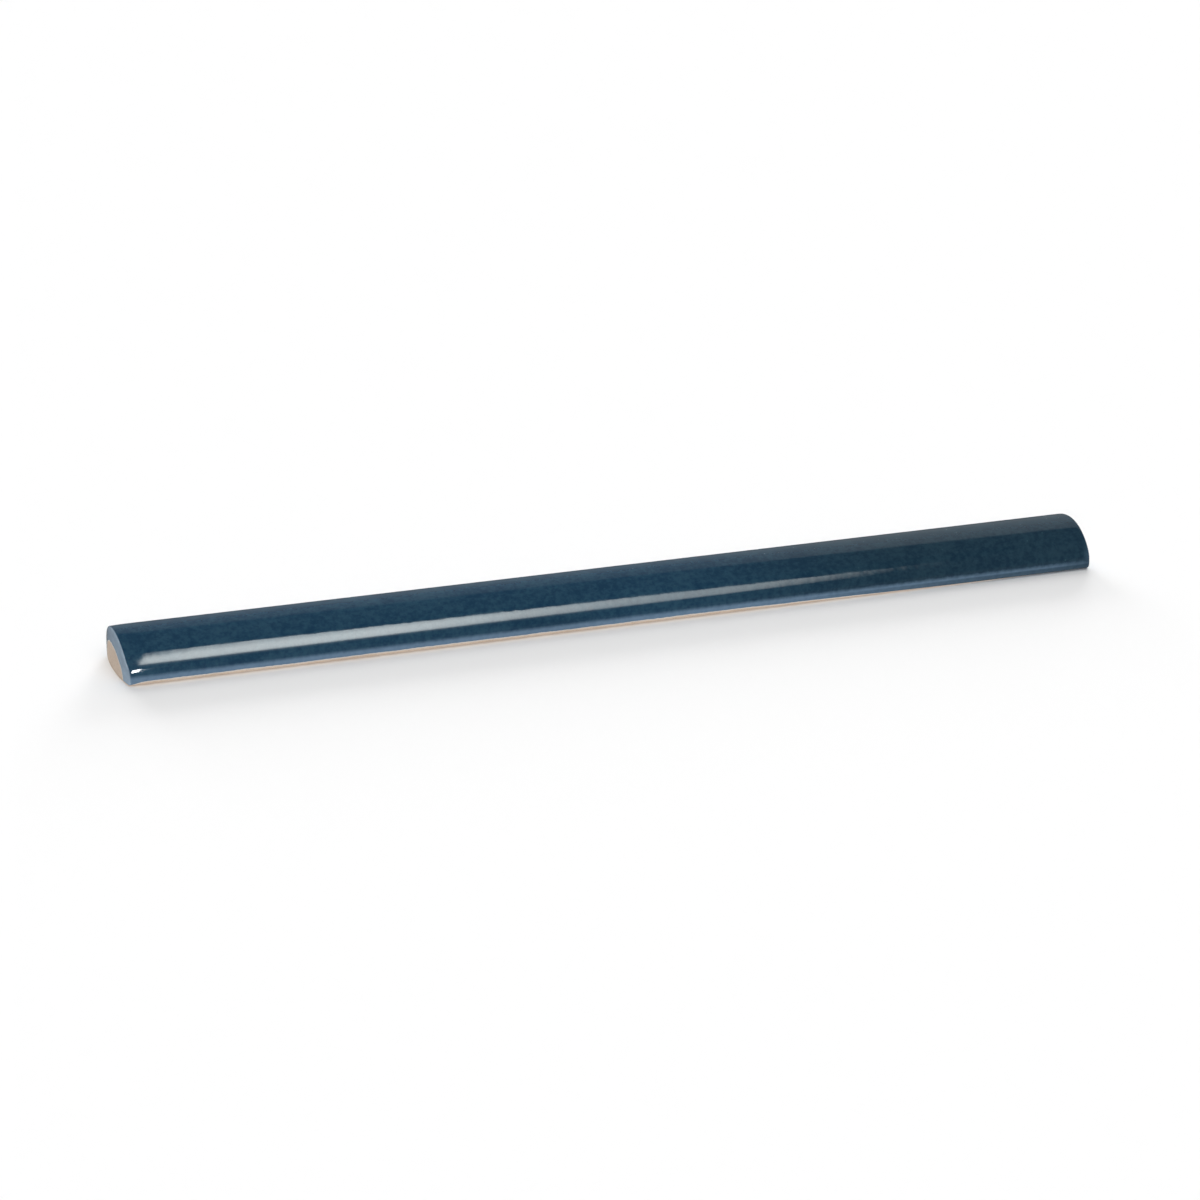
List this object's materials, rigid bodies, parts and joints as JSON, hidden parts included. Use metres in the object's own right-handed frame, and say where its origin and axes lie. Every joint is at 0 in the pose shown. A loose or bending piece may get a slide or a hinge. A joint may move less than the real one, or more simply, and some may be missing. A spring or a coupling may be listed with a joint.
{
  "type": "half-round ceramic trim tile",
  "caption": "Glossy dark blue half-round ceramic trim tile, domed over a flat back, for finishing the edge or a band of a tiled wall.",
  "frame": {"origin": "centre of the flat back that is bedded on the wall, which is also what the tile lies on", "axes": "+X along the trim, +Y across it, +Z out of the back towards the crown"},
  "size_m": [0.2, 0.02, 0.0085],
  "materials": {
    "glazed_body": "gloss"
  },
  "bodies": {
    "root": {"pencil_trim": "glazed_body"}
  },
  "joints": []
}
